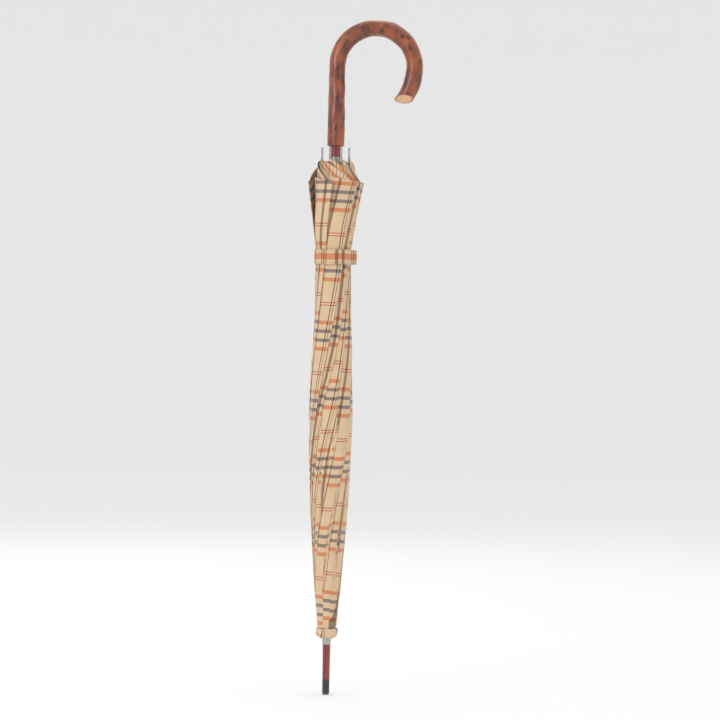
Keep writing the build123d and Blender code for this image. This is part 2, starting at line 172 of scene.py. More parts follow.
# Shaft. One turned hardwood stick, stained red-brown and lacquered, that runs from the tip cap up into the handle.
# The grain runs along it.
class Wire:
    """An output of a node. Arithmetic on wires adds Math nodes, and add() puts any other node in the same tree."""

    def __init__(self, tree, socket=None):
        self.tree = tree
        self.socket = socket

    def add(self, kind, inputs=(), out=0, **settings):
        node = self.tree.nodes.new(kind)
        for name, value in settings.items():
            setattr(node, name, value)
        for name, value in dict(inputs).items():
            self.plug(node.inputs[name], value)
        return Wire(self.tree, node.outputs[out])

    def plug(self, target, value):
        if isinstance(value, Wire):
            self.tree.links.new(value.socket, target)
        else:
            target.default_value = value

    def maths(self, operation, *values):
        return self.add("ShaderNodeMath", enumerate(values), operation=operation)

    def __add__(self, other):
        return self.maths("ADD", self, other)

    def __radd__(self, other):
        return self.maths("ADD", other, self)

    def __sub__(self, other):
        return self.maths("SUBTRACT", self, other)

    def __rsub__(self, other):
        return self.maths("SUBTRACT", other, self)

    def __mul__(self, other):
        return self.maths("MULTIPLY", self, other)

    def __rmul__(self, other):
        return self.maths("MULTIPLY", other, self)

    def __lt__(self, other):
        return self.maths("LESS_THAN", self, other)

    def __mod__(self, other):
        return self.maths("FLOORED_MODULO", self, other)

    def __abs__(self):
        return self.maths("ABSOLUTE", self)

    def sine(self):
        return self.maths("SINE", self)

    def bump(self, strength, depth):
        """The normal that this height gives a surface; depth is the height of 1 in metres."""
        return self.add("ShaderNodeBump", {"Height": self, "Strength": strength, "Distance": depth})

    def mix(self, low, high, blend_type="MIX"):
        """Colour low where this mask is 0 and high where it is 1."""
        return self.add(
            "ShaderNodeMix", {0: self, 6: low, 7: high}, out=2, data_type="RGBA", blend_type=blend_type
        )

    def smooth(self, low, high):
        """0 below low, 1 above high, and a smooth rise between."""
        return self.add(
            "ShaderNodeMapRange", {"Value": self, "From Min": low, "From Max": high}, interpolation_type="SMOOTHSTEP"
        )


TWILL = 9000.0               # the twill's ribs, radians to a metre


def rgb(red, green, blue):
    """A colour from its 0 to 255 screen values, as the linear four numbers that a socket takes."""
    return (*[((c / 255 + 0.055) / 1.055) ** 2.4 for c in (red, green, blue)], 1.0)


def finish(name, **sockets):
    """A new material, its first wire, and its shader with the sockets that are the same all over."""
    paint = bpy.data.materials.new(name)
    paint.use_nodes = True
    shader = paint.node_tree.nodes["Principled BSDF"]
    for socket, value in sockets.items():
        shader.inputs[socket.replace("_", " ")].default_value = value
    return paint, Wire(paint.node_tree), shader


def paint_node(paint, *nodes):
    """Gives a material to parts of the frame."""
    for node in nodes:
        mesh = frame["nodes"][node].data
        mesh.materials.clear()
        mesh.materials.append(paint)


shaft_wood, wood, shader = finish("shaft_wood", Coat_Weight=0.7, Coat_Roughness=0.12)
place = wood.add("ShaderNodeTexCoord", out="Object")
along = wood.add("ShaderNodeMapping", {"Vector": place, "Scale": (160.0, 160.0, 7.0)})
grain = wood.add("ShaderNodeTexNoise", {"Vector": along, "Scale": 1.0, "Detail": 6.0, "Roughness": 0.62})
pores = wood.add("ShaderNodeTexNoise", {"Vector": along, "Scale": 5.0, "Detail": 3.0})
colour = grain.smooth(0.3, 0.72).mix(rgb(78, 10, 8), rgb(152, 38, 24))
wood.plug(shader.inputs["Base Color"], (pores.smooth(0.56, 0.7) * 0.5).mix(colour, rgb(52, 8, 8)))
wood.plug(shader.inputs["Roughness"], 0.3 + grain * 0.15)
wood.plug(shader.inputs["Normal"], grain.bump(0.12, 0.0004))
paint_node(shaft_wood, "shaft")

# Crook handle. One peeled chestnut stick, steamed and bent, stained and lacquered, with its knots left standing. It
# is glued over the shaft and sawn off aslant at its free end.
CROOK_RADIUS = 0.0515
TAIL_RADIUS = 0.074
TAIL_SWEEP = math.radians(50)     # before the end is sawn off aslant
SAW_POINT = (0.0910, 0.0, 0.7943)
SAW_NORMAL = (-0.1370, -0.4150, -0.8990)
WOOD_RADIUS = 0.0117
ROW_LENGTH = 0.00105
SIDES = 96
END_ROUNDING = 0.0012
KNOT_HALF_WIDTH = 0.0050
WAIST = (0.093, 0.022, 0.0007)       # a thinner place in the stick: middle, half length and depth
KNOTS = (                    # length from the lower end, direction round the stick, height, half length
    (0.023, 272, 0.0005, 0.0070), (0.040, 190, 0.0009, 0.0075), (0.064, 265, 0.0007, 0.0080),
    (0.052, 20, 0.0008, 0.0075), (0.104, 262, 0.0009, 0.0070), (0.118, 175, 0.0008, 0.0070),
    (0.135, 330, 0.0007, 0.0070), (0.170, 285, 0.0008, 0.0060), (0.196, 250, 0.0009, 0.0055),
    (0.150, 90, 0.0009, 0.0075), (0.224, 275, 0.0011, 0.0075), (0.231, 300, 0.0009, 0.0060),
    (0.243, 268, 0.0012, 0.0080), (0.262, 310, 0.0008, 0.0060), (0.208, 10, 0.0008, 0.0070),
    (0.252, 80, 0.0010, 0.0080), (0.085, 95, 0.0009, 0.0080), (0.010, 85, 0.0006, 0.0070),
    (0.288, 200, 0.0007, 0.0060), (0.190, 120, 0.0008, 0.0070),
)
handle_low, handle_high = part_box("crook_handle")
crook_z = handle_high.z - CROOK_RADIUS - 0.01175
stem_length = crook_z - handle_low.z
bend_length = math.pi * CROOK_RADIUS
tail_length = TAIL_SWEEP * TAIL_RADIUS
handle_length = stem_length + bend_length + tail_length


def crook_point(s):
    """Centre of the stick at length s from its lower end, and the direction that faces out of the bend."""
    if s <= stem_length:
        return Vector((0, 0, handle_low.z + s)), Vector((-1, 0, 0))
    if s <= stem_length + bend_length:
        turn = math.pi - (s - stem_length) / CROOK_RADIUS
        out = Vector((math.cos(turn), 0, math.sin(turn)))
        return Vector((CROOK_RADIUS, 0, crook_z)) + out * CROOK_RADIUS, out
    turn = -(s - stem_length - bend_length) / TAIL_RADIUS
    out = Vector((math.cos(turn), 0, math.sin(turn)))
    return Vector((2 * CROOK_RADIUS - TAIL_RADIUS, 0, crook_z)) + out * TAIL_RADIUS, out


for item in bpy.context.selected_objects:
    item.select_set(False)
bpy.ops.mesh.primitive_circle_add(
    vertices=SIDES, radius=WOOD_RADIUS - 0.0004, fill_type="NOTHING", location=(0, 0, handle_low.z + END_ROUNDING)
)
handle_stick = bpy.context.object
handle_stick.name = "handle_stick"
bpy.ops.object.transform_apply(location=True)
bpy.ops.object.mode_set(mode="EDIT")
stem_rows = round((stem_length - END_ROUNDING) / ROW_LENGTH)
for row in range(stem_rows):
    rise = (stem_length - END_ROUNDING) / stem_rows
    bpy.ops.mesh.extrude_region_move(TRANSFORM_OT_translate={"value": (0, 0, rise)})
bpy.ops.mesh.spin(
    steps=round(bend_length / ROW_LENGTH), angle=math.pi, center=(CROOK_RADIUS, 0, crook_z), axis=(0, -1, 0)
)
bpy.ops.mesh.spin(
    steps=round(tail_length / ROW_LENGTH), angle=TAIL_SWEEP, center=(2 * CROOK_RADIUS - TAIL_RADIUS, 0, crook_z),
    axis=(0, -1, 0),
)
bpy.ops.mesh.select_all(action="SELECT")
bpy.ops.mesh.remove_doubles(threshold=1e-6)
bpy.ops.mesh.select_all(action="DESELECT")
bpy.ops.object.mode_set(mode="OBJECT")
for face in handle_stick.data.polygons:
    face.select = face.center.x > CROOK_RADIUS
bpy.ops.object.mode_set(mode="EDIT")
bpy.ops.mesh.select_mode(type="FACE")
bpy.ops.mesh.bisect(plane_co=SAW_POINT, plane_no=SAW_NORMAL, clear_outer=True, use_fill=True)
for end in ("sawn", "socket"):
    bpy.ops.mesh.select_all(action="DESELECT")
    bpy.ops.object.mode_set(mode="OBJECT")
    for vertex in handle_stick.data.vertices:
        if end == "sawn":
            vertex.select = abs((vertex.co - Vector(SAW_POINT)).dot(Vector(SAW_NORMAL))) < 1e-5
        else:
            vertex.select = abs(vertex.co.z - handle_low.z - END_ROUNDING) < 1e-5
    bpy.ops.object.mode_set(mode="EDIT")
    bpy.ops.mesh.select_mode(type="VERT")
    if end == "sawn":
        bpy.ops.mesh.select_mode(type="FACE")
        bpy.ops.mesh.inset(thickness=END_ROUNDING, depth=0.0)
        bpy.ops.transform.translate(value=Vector(SAW_NORMAL) * END_ROUNDING * 0.55)
    else:
        bpy.ops.mesh.extrude_region_move(TRANSFORM_OT_translate={"value": (0, 0, -END_ROUNDING)})
        bpy.ops.transform.resize(value=(1 - END_ROUNDING / WOOD_RADIUS,) * 3)
        bpy.ops.mesh.extrude_region_move()
        bpy.ops.transform.resize(value=(0.5, 0.5, 0.5))
        bpy.ops.mesh.merge(type="COLLAPSE")
bpy.ops.mesh.select_all(action="SELECT")
bpy.ops.mesh.remove_doubles(threshold=1e-6)
bpy.ops.mesh.normals_make_consistent(inside=False)
bpy.ops.object.mode_set(mode="OBJECT")
handle_mesh = handle_stick.data


def along_stick(place):
    """Length along the stick at a point on or in it, its angle round the stick and its distance from the middle."""
    if place.z <= crook_z and place.x < CROOK_RADIUS:
        s = place.z - handle_low.z
    elif place.z >= crook_z:
        s = stem_length + (math.pi - math.atan2(place.z - crook_z, place.x - CROOK_RADIUS)) * CROOK_RADIUS
    else:
        turn = math.atan2(crook_z - place.z, place.x - 2 * CROOK_RADIUS + TAIL_RADIUS)
        s = stem_length + bend_length + turn * TAIL_RADIUS
    centre, out = crook_point(s)
    away = place - centre
    return s, math.atan2(away.y, away.dot(out)), math.hypot(away.y, away.dot(out))


# the stick's bumps and knots, and its own coordinates, length along it and length round it
skin = handle_mesh.uv_layers.new(name="skin")
knot_mark = handle_mesh.attributes.new("knot", "FLOAT", "POINT")
stick_places = [along_stick(vertex.co) for vertex in handle_mesh.vertices]
moved = []
for vertex, (s, turn, away) in zip(handle_mesh.vertices, stick_places):
    share = s / handle_length
    lift = 0.00026 * math.sin(31 * share + 2 * turn) + 0.00018 * math.sin(74 * share + turn) - 0.0001
    lift -= WAIST[2] * math.exp(-(((s - WAIST[0]) / WAIST[1]) ** 2))
    mark = 0.0
    for knot_place, knot_turn, height, reach in KNOTS:
        off_along = (s - knot_place) / reach
        off_turn = math.remainder(turn - math.radians(knot_turn), 2 * math.pi)
        off_round = off_turn * WOOD_RADIUS / KNOT_HALF_WIDTH
        near = off_along**2 + off_round**2
        lift += height * (math.exp(-near) - 0.25 * math.exp(-near * 12))
        mark = max(mark, math.exp(-near * 3.2))
    knot_mark.data[vertex.index].value = mark
    centre, out = crook_point(s)
    grip = min(1.0, away / WOOD_RADIUS)
    moved.append(vertex.co + (out * math.cos(turn) + Vector((0, 1, 0)) * math.sin(turn)) * lift * grip**2)
for vertex, place in zip(handle_mesh.vertices, moved):
    vertex.co = place
for face in handle_mesh.polygons:
    places = [stick_places[vertex] for vertex in face.vertices]
    first = places[0][1]
    sawn = face.center.x > CROOK_RADIUS and face.normal.dot(Vector(SAW_NORMAL)) > 0.98
    face.material_index = int(sawn)
    for corner, (s, turn, away) in zip(face.loop_indices, places):
        near_turn = first + math.remainder(turn - first, 2 * math.pi)
        across = (away * math.cos(turn) * 1.08, away * math.sin(turn))
        skin.data[corner].uv = across if sawn else (near_turn * WOOD_RADIUS, s)
handle_mesh.shade_smooth()
handle_mesh.set_sharp_from_angle(angle=math.radians(50))

handle_wood, wood, shader = finish("handle_wood", Coat_Weight=0.55, Coat_Roughness=0.22)
skin = wood.add("ShaderNodeUVMap", uv_map="skin")
place = wood.add("ShaderNodeTexCoord", out="Object")
knot = wood.add("ShaderNodeAttribute", out="Fac", attribute_name="knot")
warp = wood.add("ShaderNodeTexNoise", {"Vector": place, "Scale": 55.0, "Detail": 3.0}, out="Color")
along = wood.add("ShaderNodeMapping", {"Vector": skin, "Scale": (520.0, 34.0, 1.0)})
along = wood.add("ShaderNodeVectorMath", {0: warp, 1: (3.0, 3.0, 0.0), 2: along}, operation="MULTIPLY_ADD")
grain = wood.add("ShaderNodeTexNoise", {"Vector": along, "Scale": 1.0, "Detail": 6.0, "Roughness": 0.6})
broad = wood.add("ShaderNodeMapping", {"Vector": place, "Scale": (60.0, 60.0, 34.0)})
clouds = wood.add("ShaderNodeTexNoise", {"Vector": broad, "Scale": 1.0, "Detail": 5.0, "Roughness": 0.6})
patches = wood.add("ShaderNodeTexNoise", {"Vector": place, "Scale": 95.0, "Detail": 5.0, "Roughness": 0.65})
height = wood.add("ShaderNodeSeparateXYZ", {0: place}, out="Z")
colour = clouds.smooth(0.34, 0.66).mix(rgb(88, 34, 15), rgb(168, 80, 32))
colour = (grain.smooth(0.40, 0.76) * 0.5).mix(colour, rgb(84, 31, 14))
colour = (patches.smooth(0.55, 0.74) * 0.5).mix(colour, rgb(190, 96, 40))
colour = (knot.smooth(0.02, 0.55) * 0.45).mix(colour, rgb(70, 26, 13))
rub = (height + patches * 0.0045).smooth(0.8965, 0.9010)
colour = (rub * 0.75).mix(colour, rgb(226, 168, 130))
knot_spots = (knot * 0.9 + patches * 0.9 + grain * 0.5 - 0.72).smooth(0.22, 0.85)
colour = (knot_spots * 0.8).mix(colour, rgb(38, 14, 9))
wood.plug(shader.inputs["Base Color"], colour)
wood.plug(shader.inputs["Roughness"], 0.3 + grain * 0.22)
bumps = grain * 0.5 + clouds * 0.6 + knot_spots * -0.5
wood.plug(shader.inputs["Normal"], bumps.bump(0.3, 0.0005))
handle_mesh.materials.append(handle_wood)

sawn_wood, wood, shader = finish("sawn_wood", Coat_Weight=0.25, Coat_Roughness=0.3)
skin = wood.add("ShaderNodeUVMap", uv_map="skin")
away = wood.add("ShaderNodeVectorMath", {0: skin}, out="Value", operation="LENGTH")
wobble = wood.add("ShaderNodeTexNoise", {"Vector": skin, "Scale": 160.0, "Detail": 3.0})
growth = (away * 1400 + wobble * 3).maths("SINE", away * 1400 + wobble * 3)
colour = (growth * 0.5 + 0.5).mix(rgb(226, 184, 140), rgb(204, 152, 106))
colour = (away.smooth(0.0095, 0.0112) * 0.8).mix(colour, rgb(128, 60, 34))
wood.plug(shader.inputs["Base Color"], colour)
wood.plug(shader.inputs["Roughness"], 0.45 + wobble * 0.1)
handle_mesh.materials.append(sawn_wood)
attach(handle_stick, "root")
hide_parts("crook_handle")

# Tip cap, collar and rib tips. The cap is a drawn steel thimble in black enamel, scuffed where it meets the
# ground. The collar and the rib tips are polished nickel plate.
cap_enamel, metal, shader = finish("cap_enamel", Coat_Weight=0.3, Coat_Roughness=0.2)
place = metal.add("ShaderNodeTexCoord", out="Object")
height = metal.add("ShaderNodeSeparateXYZ", {0: place}, out="Z")
scuffs = metal.add("ShaderNodeTexNoise", {"Vector": place, "Scale": 900.0, "Detail": 4.0})
worn = scuffs.smooth(0.5, 0.62) * (1.0 - height.smooth(0.0005, 0.004))
metal.plug(shader.inputs["Base Color"], worn.mix(rgb(44, 38, 42), rgb(150, 146, 142)))
metal.plug(shader.inputs["Metallic"], worn * 0.8)
metal.plug(shader.inputs["Roughness"], 0.36 + scuffs * 0.2)
paint_node(cap_enamel, "tip_cap")

nickel, metal, shader = finish("nickel", Metallic=1.0)
place = metal.add("ShaderNodeTexCoord", out="Object")
haze = metal.add("ShaderNodeTexNoise", {"Vector": place, "Scale": 260.0, "Detail": 3.0})
metal.plug(shader.inputs["Base Color"], haze.mix(rgb(150, 148, 148), rgb(196, 194, 190)))
metal.plug(shader.inputs["Roughness"], 0.12 + haze * 0.16)
paint_node(nickel, "tip_collar", *[f"rib_tip_{k}" for k in range(1, 9)])

# Ribs and stretchers. Fluted steel strip, stove-lacquered black. The notch, runner, catches, rivets, wires and pin
# are bright steel, drawn or turned.
lacquer, metal, shader = finish("black_lacquer", Coat_Weight=0.4, Coat_Roughness=0.25)
place = metal.add("ShaderNodeTexCoord", out="Object")
speckle = metal.add("ShaderNodeTexNoise", {"Vector": place, "Scale": 500.0, "Detail": 4.0})
metal.plug(shader.inputs["Base Color"], speckle.mix(rgb(34, 33, 35), rgb(60, 58, 60)))
metal.plug(shader.inputs["Roughness"], 0.34 + speckle * 0.16)
paint_node(lacquer, *[f"{part}_{k}" for part in ("rib", "stretcher") for k in range(1, 9)])

steel, metal, shader = finish("bright_steel", Metallic=1.0)
place = metal.add("ShaderNodeTexCoord", out="Object")
along = metal.add("ShaderNodeMapping", {"Vector": place, "Scale": (90.0, 90.0, 1600.0)})
turning = metal.add("ShaderNodeTexNoise", {"Vector": along, "Scale": 1.0, "Detail": 3.0})
metal.plug(shader.inputs["Base Color"], turning.mix(rgb(128, 126, 124), rgb(170, 168, 164)))
metal.plug(shader.inputs["Roughness"], 0.22 + turning * 0.2)
paint_node(
    steel, "notch", "notch_wire", "runner", "runner_wire", "bottom_catch", "top_catch", "stop_pin",
    *[f"rivet_{k}" for k in range(1, 9)],
)

# Canopy. Eight gores of fine twill, woven in a plaid, sewn to each other over the ribs. Each is folded in half along
# its middle, its spare width pleated between its two ribs, and the doubled flap is wrapped round the roll so that it
# shows as one strip, with its folded middle as the edge. As the ribs open, each gore spreads between its two ribs.
GORES = 8
GORE_HALF = 21.5             # half of a gore's angle at its point, degrees
PITCH = 360.0 / GORES
CLOTH_Z = 0.0885             # lower end of the cloth, inside the rosette
TIP_LENGTH = 0.6265          # cloth along a rib
MIDDLE_LENGTH = 0.5920       # cloth along a gore's middle
ROLL_OUTLINE = (             # height and radius of the roll, along the folded edges
    (0.0885, 0.0122), (0.097, 0.0133), (0.113, 0.0146), (0.145, 0.0180), (0.193, 0.0213), (0.241, 0.0246),
    (0.289, 0.0273), (0.337, 0.0293), (0.385, 0.0289), (0.448, 0.0273), (0.512, 0.0248), (0.560, 0.0240),
    (0.592, 0.0238), (0.608, 0.0262), (0.640, 0.0310), (0.672, 0.0366), (0.682, 0.0384), (0.690, 0.0380),
    (0.720, 0.0360),
)
FOLD_TWIST = (               # height, and how far round the folded edges have climbed there, degrees
    (0.08, -62), (0.15, -56), (0.33, 0), (0.50, 66), (0.58, 90), (0.62, 96), (0.66, 105), (0.70, 112), (0.73, 114),
)
FOLD_OFFSETS = (-10, 5, 20, 30, 4, -16, -9, -20)     # how unevenly the flaps lie, degrees
PLAID_SHIFTS = (             # where the pattern falls on each gore, in metres
    (0.004, 0.000), (0.021, 0.006), (0.013, -0.004), (0.030, 0.009), (0.009, 0.003), (0.026, -0.006), (0.018, 0.005),
    (0.035, -0.002),
)
LEGS = 10                    # pleats in each half of a gore
OVERLAP = 10.0               # how far a flap runs on under its neighbour, degrees
TURN_UNDER = 14.0            # how far the lower half lies flat under the flap, degrees
ROWS = 130
SEAM_LIFT = 0.00145          # cloth above the rib's axis
FLARE = (0.600, 0.668)       # heights over which the cloth leaves the tight roll
PLEATS_END = (0.595, 0.650)  # heights over which the pleats fall flat
KEPT_FLAT = 0.12             # share of half a gore that stays flat over the ribs at the neck
HEM_ARC = 0.9                # how the hem runs from a gore's middle to its ribs
CLOTH_PLY = 0.0010           # from a flap's outer half to its inner half


def curve_through(points, where):
    """Smooth curve through points of rising first number, at the places where."""
    x, y = (np.array(v) for v in zip(*points))
    slope = np.gradient(y, x)
    k = np.clip(np.searchsorted(x, where) - 1, 0, len(x) - 2)
    h = x[k + 1] - x[k]
    t = np.clip((where - x[k]) / h, 0, 1)
    start = y[k] * (1 + 2 * t) * (1 - t) ** 2 + slope[k] * h * t * (1 - t) ** 2
    return start + y[k + 1] * t * t * (3 - 2 * t) + slope[k + 1] * h * t * t * (t - 1)


def ease(value, low, high):
    """0 below low, 1 above high, and a smooth rise between."""
    t = np.clip((value - low) / (high - low), 0, 1)
    return t * t * (3 - 2 * t)


def fold_edge(gore, z):
    """Azimuth of a gore's folded middle at height z, in degrees. The edges climb round the roll."""
    twist = curve_through(FOLD_TWIST, z)
    wander = 3.0 * np.sin(z / 0.075 + 1.7 * gore) + 1.5 * np.sin(z / 0.031 + 2.9 * gore)
    return PITCH * (gore + 1) + twist + FOLD_OFFSETS[gore % GORES] + wander


hinge_foot = Vector(joints["canopy_open"]["pos_m"])
tip_middle = sum(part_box("rib_tip_1"), Vector()) / 2
RIB_LEAN = (tip_middle.xy.length - hinge_foot.xy.length) / (tip_middle.z - hinge_foot.z)


def rib_axis_radius(z):
    """Distance of a closed rib's axis from the shaft's axis at height z."""
    return hinge_foot.xy.length + (z - hinge_foot.z) * RIB_LEAN


def gore_cloth(gore):
    """Points, plaid coordinates and lengths from the apex of one gore's cloth, each as rows by columns.

    The columns run from the seam on this rib, through a stack of pleats, round to the folded middle, then back under
    the flap, through the second stack and to the seam on the next rib. Above the strap the stacks fall flat and the
    cloth runs straight from the rib to the flap.
    """
    rib = PITCH / 2 + PITCH * gore
    legs = np.arange(0, 2 * LEGS + 1) / (2 * LEGS)
    columns = [("pleats", s) for s in legs] + [("wrap", s) for s in np.linspace(0, 1, 21)[1:]]
    columns += [("flap", s) for s in np.linspace(0, 1, 20)[1:]] + [("fold", s) for s in (0.2, 0.4, 0.6, 0.8)]
    columns += [("under", s) for s in np.linspace(0, 1, 6)] + [("back", s) for s in np.linspace(0, 1, 19)[1:]]
    columns += [("tuck", s) for s in legs[1:]]
    share = np.linspace(0, 1, ROWS)
    points = np.zeros((ROWS, len(columns), 3))
    across = np.zeros((ROWS, len(columns)))
    reach = np.zeros((ROWS, len(columns)))
    length = np.full(len(columns), MIDDLE_LENGTH)
    for sweep in range(5):                     # the hem's height depends on where a column lies, so it settles
        for number, (group, s) in enumerate(columns):
            rho = share * length[number]
            z = CLOTH_Z + rho
            radius = curve_through(ROLL_OUTLINE, z)
            seam_radius = rib_axis_radius(z) + SEAM_LIFT
            edge = fold_edge(gore, z)
            before = fold_edge(gore - 1, z)
            width = edge - before
            top = ease(z, *FLARE)
            loose = 1 - ease(z, *PLEATS_END)
            step = 0.0013 * ease(z, 0.09, 0.2) * (1 - 0.35 * ease(z, 0.50, 0.58)) + 0.0003
            half = np.radians(GORE_HALF) * np.maximum(rho, 1e-4)
            start = edge - width - OVERLAP
            outer_home = rib + 2.0
            inner_home = rib + PITCH - 2.0
            middle_radius = (seam_radius + radius) / 2
            flap_length = np.minimum(np.radians(edge - start) * radius, 0.62 * half)
            under_length = np.minimum(np.radians(TURN_UNDER) * radius, 0.3 * half)
            wrap_length = np.radians(np.abs(start - outer_home)) * radius
            back_length = np.radians(np.abs(edge - TURN_UNDER - inner_home)) * radius
            spare_out = np.maximum(half - flap_length - wrap_length, 0.08 * half)
            spare_in = np.maximum(half - under_length - back_length, 0.08 * half)
            keep_out = spare_out * loose + KEPT_FLAT * half * (1 - loose)
            keep_in = spare_in * loose + KEPT_FLAT * half * (1 - loose)
            swing_out = np.degrees(np.minimum(spare_out / LEGS / middle_radius, math.radians(38))) * loose
            swing_in = np.degrees(np.minimum(spare_in / LEGS / middle_radius, math.radians(38))) * loose
            slow = 1 + 0.8 * top               # the hem leaves the rib's end slowly

            def wrapped_radius(azimuth, home, drop):
                """Radius of the flap along its wrap from its home rib to its folded edge."""
                along = np.clip((azimuth - home) / np.maximum(edge - home, 30.0), 0, 1)
                body = radius - step * np.clip((edge - azimuth) / width, 0, 3.2) - drop
                flared = seam_radius + (radius - seam_radius) * (0.45 * along + 0.55 * along**2) - drop
                return np.maximum(body * (1 - top) + flared * top, seam_radius + 0.0001)

            if group == "pleats":
                wave = abs((s * LEGS + 1) % 2 - 1)
                azimuth = rib + min(s * 2 * LEGS, 1) * 2.0 + swing_out * wave
                r = seam_radius + (wrapped_radius(outer_home, rib, CLOTH_PLY) - seam_radius) * s
                a = -half + keep_out * s
            elif group == "wrap":
                azimuth = outer_home + (start - outer_home) * s
                turned_back = ease(outer_home - start, 0, 20)
                sunk = turned_back * (step * 0.6 + 0.0009 * (1 - s))
                r = wrapped_radius(azimuth, rib, 0) - sunk - CLOTH_PLY * (1 - s)
                a = -half + keep_out + (half - keep_out - flap_length) * s**slow
            elif group == "flap":
                azimuth = start + (edge - start) * s
                hidden = 1 - ease(azimuth - before, -OVERLAP, 2.0)
                r = wrapped_radius(azimuth, rib, 0) - 0.0004 * hidden
                a = -flap_length * (1 - s)
            elif group == "fold":
                turn = math.pi * s
                azimuth = edge + np.degrees(CLOTH_PLY / 2 * math.sin(turn) / radius)
                r = wrapped_radius(edge, rib, 0) - CLOTH_PLY / 2 * (1 - math.cos(turn))
                a = np.zeros(ROWS)
            elif group == "under":
                azimuth = edge - TURN_UNDER * s
                r = wrapped_radius(azimuth, rib, CLOTH_PLY)
                a = under_length * s
            elif group == "back":
                first = edge - TURN_UNDER
                azimuth = first + (inner_home - first) * s
                near = wrapped_radius(azimuth, rib, CLOTH_PLY)
                r = near * (1 - s) + wrapped_radius(azimuth, rib + PITCH, CLOTH_PLY) * s
                a = under_length + (half - keep_in - under_length) * (1 - (1 - s) ** slow)
            else:
                wave = abs(((1 - s) * LEGS + 1) % 2 - 1)
                azimuth = rib + PITCH - min((1 - s) * 2 * LEGS, 1) * 2.0 - swing_in * wave
                r = seam_radius + (wrapped_radius(inner_home, rib + PITCH, CLOTH_PLY) - seam_radius) * (1 - s)
                a = half - keep_in * (1 - s)
            crease = 0.00022 * np.sin(np.radians(edge - azimuth) * 9 + z * 22 + gore) * ease(z, 0.12, 0.2)
            crease += 0.00012 * np.sin(np.radians(edge - azimuth) * 23 + z * 40 + 2 * gore)
            if group in ("flap", "wrap"):
                r = r + crease * (1 if group == "flap" else s)
            turn = np.radians(azimuth)
            points[:, number] = np.stack([r * np.cos(turn), r * np.sin(turn), z], axis=1)
            across[:, number] = a / np.maximum(rho, 1e-4)
            reach[:, number] = rho
        lean = np.abs(across[-1]) / math.radians(GORE_HALF)
        length = MIDDLE_LENGTH + (TIP_LENGTH - MIDDLE_LENGTH) * lean**HEM_ARC
    return points, across, reach


def turned(points, pivot, axis, angle):
    """Points turned about an axis by one angle or by an angle each."""
    axis = np.array(axis, float) / np.linalg.norm(axis)
    away = points - np.array(pivot, float)
    cos, sin = np.cos(angle)[..., None], np.sin(angle)[..., None]
    along = (away @ axis)[..., None] * axis
    return np.array(pivot, float) + away * cos + np.cross(axis, away) * sin + along * (1 - cos)


def spread_weights(gore, points, across, reach):
    """How far each point follows the gore's hinge, so that the open cloth lies evenly between its two ribs."""
    hinge = joints[f"gore_{gore + 1}_spread"]
    swing = joints["canopy_open" if gore == 0 else f"rib_{gore + 1}_swing"]
    hinge_angle = math.radians(hinge["range_deg"][1])
    swing_angle = np.array(math.radians(swing["range_deg"][1]))
    share = across / math.radians(GORE_HALF) * 0.5 + 0.5
    wanted = PITCH * (share - 0.5)
    middle = math.radians(PITCH * (gore + 1))
    low, high = np.full(share.shape, -1.5), np.full(share.shape, 2.5)
    for halving in range(26):
        guess = (low + high) / 2
        spread = turned(points, hinge["pos_m"], hinge["axis"], guess * hinge_angle)
        opened = turned(spread, swing["pos_m"], swing["axis"], swing_angle)
        azimuth = np.arctan2(opened[..., 1], opened[..., 0]) - middle
        azimuth = np.degrees(np.arctan2(np.sin(azimuth), np.cos(azimuth)))
        short = azimuth < wanted
        low, high = np.where(short, guess, low), np.where(short, high, guess)
    near = 1 - ease(reach, 0.02, 0.07)
    return share * near + (low + high) / 2 * (1 - near)


def grid_mesh(name, points, uv_points):
    """Mesh of a grid of points, with a UV map in metres, as an object."""
    rows, count = points.shape[:2]
    mesh = bpy.data.meshes.new(name)
    quads = [
        (k * count + c, k * count + c + 1, (k + 1) * count + c + 1, (k + 1) * count + c)
        for k in range(rows - 1) for c in range(count - 1)
    ]
    mesh.from_pydata(points.reshape(-1, 3).tolist(), [], quads)
    layer = mesh.uv_layers.new(name="cloth")
    corners = np.zeros(len(mesh.loops), np.int32)
    mesh.loops.foreach_get("vertex_index", corners)
    layer.data.foreach_set("uv", uv_points.reshape(-1, 2)[corners].astype(np.float32).ravel())
    mesh.shade_smooth()
    made = bpy.data.objects.new(name, mesh)
    bpy.context.collection.objects.link(made)
    return made


